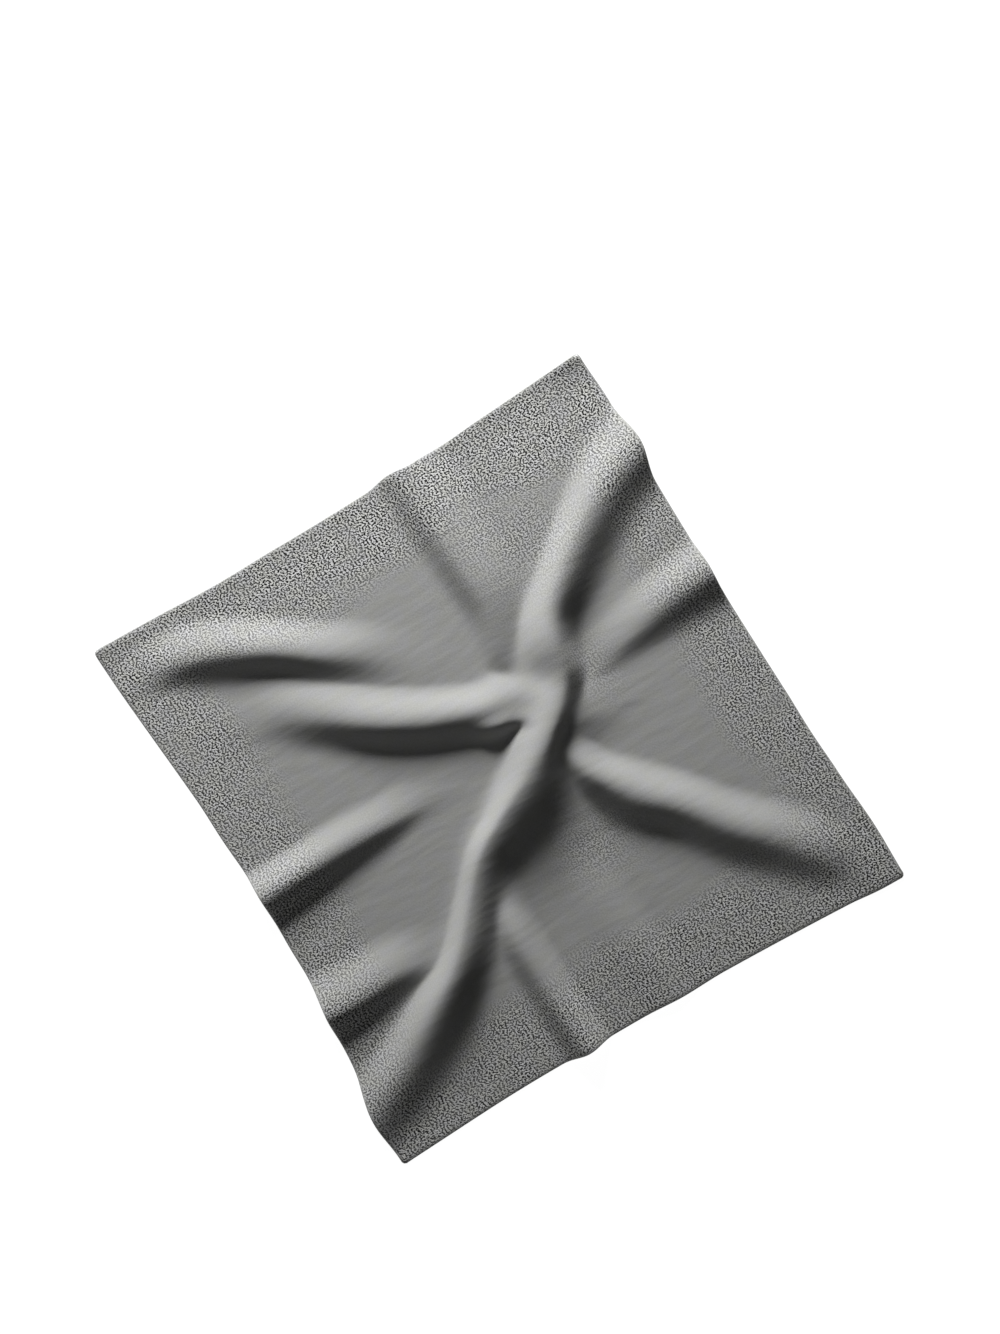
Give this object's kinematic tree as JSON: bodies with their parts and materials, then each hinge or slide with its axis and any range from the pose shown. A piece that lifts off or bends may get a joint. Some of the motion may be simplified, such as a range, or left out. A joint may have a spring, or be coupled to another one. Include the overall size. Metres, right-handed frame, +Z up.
{
  "type": "square knitted scarf",
  "caption": "Square knitted cashmere neck scarf lying spread out, with soft folds that run into a long ridge across its middle.",
  "frame": {"origin": "centre of the bounding box on the surface that the scarf lies on", "axes": "X and Y along the sides of the square, Y along its slightly longer sides, Z up out of the cloth"},
  "size_m": [0.6118, 0.6484, 0.0308],
  "materials": {
    "cashmere": "brushed, matt knit with a soft nap"
  },
  "bodies": {
    "root": {"scarf": "cashmere"}
  },
  "joints": []
}
